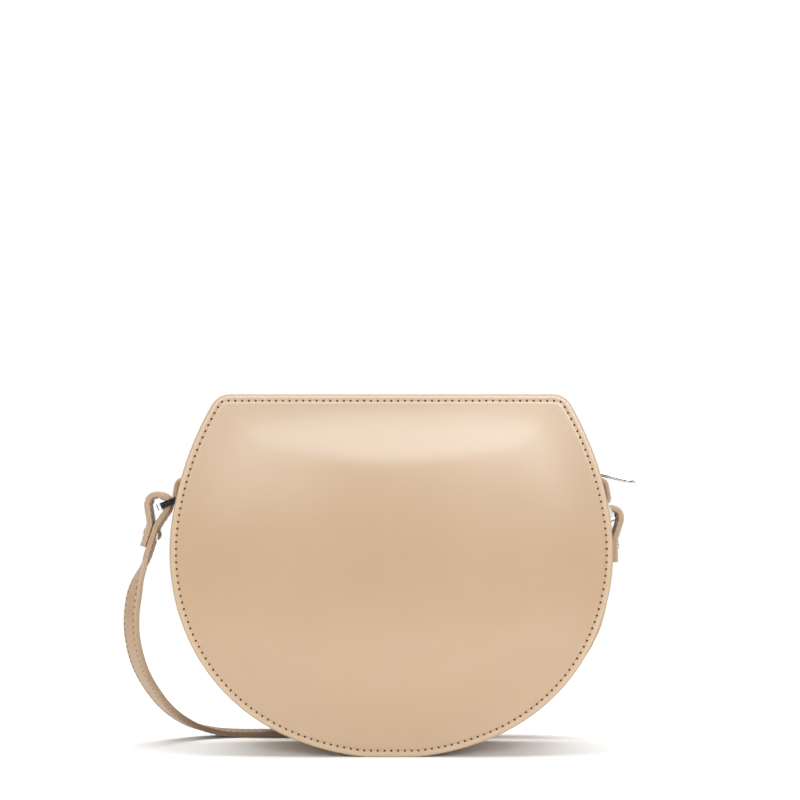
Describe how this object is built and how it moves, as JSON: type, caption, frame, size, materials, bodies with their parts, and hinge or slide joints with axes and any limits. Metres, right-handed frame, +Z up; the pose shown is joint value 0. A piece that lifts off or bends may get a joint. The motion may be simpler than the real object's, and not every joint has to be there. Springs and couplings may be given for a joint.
{
  "type": "half moon crossbody bag",
  "caption": "Small leather half moon bag with a zip over the top, side tabs with metal rings, a slip pocket inside and a long flat strap held by screw posts.",
  "frame": {"origin": "middle of the front panel's bottom edge, half way through the panel, on the surface that the bag stands on", "axes": "+X to the right along the bag's width, +Y from the front panel to the back panel, +Z up"},
  "size_m": [0.2487, 0.0912, 0.1717],
  "materials": {
    "shell_leather": "smooth glossy tan calf leather",
    "strap_leather": "smooth tan leather, stitched along both edges",
    "stiffener_board": "bonded leather board",
    "lining_cloth": "plain woven cotton",
    "zip_tape": "woven herringbone tape",
    "polished_metal": "polished nickel"
  },
  "bodies": {
    "bag": {"front_panel": "shell_leather", "back_panel": "shell_leather", "welt_front": "shell_leather", "welt_back": "shell_leather", "main_gusset": "shell_leather", "zip_gusset_front": "shell_leather", "zip_gusset_back": "shell_leather", "tab_left": "shell_leather", "tab_right": "shell_leather", "front_stiffener": "stiffener_board", "back_stiffener": "stiffener_board", "front_lining": "lining_cloth", "back_lining": "lining_cloth", "gusset_lining": "lining_cloth", "zip_lining_front": "lining_cloth", "zip_lining_back": "lining_cloth", "slip_pocket": "lining_cloth", "zip_tape_front": "zip_tape", "zip_tape_back": "zip_tape", "zip_teeth_front": "polished_metal", "zip_teeth_back": "polished_metal", "top_stop_front": "polished_metal", "top_stop_back": "polished_metal", "bottom_stop": "polished_metal", "strap_left_run": "strap_leather", "strap_right_run": "strap_leather", "strap_fold": "strap_leather"},
    "slider": {"zip_slider": "polished_metal"},
    "puller": {"zip_puller": "polished_metal"},
    "left_ring": {"ring_left": "polished_metal"},
    "right_ring": {"ring_right": "polished_metal"},
    "left_strap_end": {"strap_end_left": "strap_leather", "rivet_post_left": "polished_metal", "rivet_cap_left": "polished_metal"},
    "right_strap_end": {"strap_end_right": "strap_leather", "rivet_post_right": "polished_metal", "rivet_cap_right": "polished_metal"}
  },
  "joints": [
    {"name": "zip_slide", "type": "hinge", "parent": "bag", "child": "slider", "pos_m": [-0.05006, 0.0315, 0.08931], "axis": [0, -1, 0], "range_deg": [0, 10]},
    {"name": "puller_swing", "type": "hinge", "parent": "slider", "child": "puller", "pos_m": [0.09609, 0.0315, 0.13535], "axis": [0, -1, 0], "range_deg": [0, 118]},
    {"name": "ring_left_swing", "type": "hinge", "parent": "bag", "child": "left_ring", "pos_m": [-0.10226, 0.0315, 0.12234], "axis": [0, 1, 0], "range_deg": [-12, 36], "deforming": ["strap_left_run"]},
    {"name": "ring_right_swing", "type": "hinge", "parent": "bag", "child": "right_ring", "pos_m": [0.10226, 0.0315, 0.12234], "axis": [0, -1, 0], "range_deg": [0, 45], "deforming": ["strap_right_run"]},
    {"name": "strap_left_swing", "type": "hinge", "parent": "left_ring", "child": "left_strap_end", "pos_m": [-0.11292, 0.0315, 0.11803], "axis": [0, 1, 0], "range_deg": [-14, 50], "deforming": ["strap_left_run"]},
    {"name": "strap_right_swing", "type": "hinge", "parent": "right_ring", "child": "right_strap_end", "pos_m": [0.10693, 0.0315, 0.11183], "axis": [0, -1, 0], "range_deg": [0, 60], "deforming": ["strap_right_run"]}
  ]
}
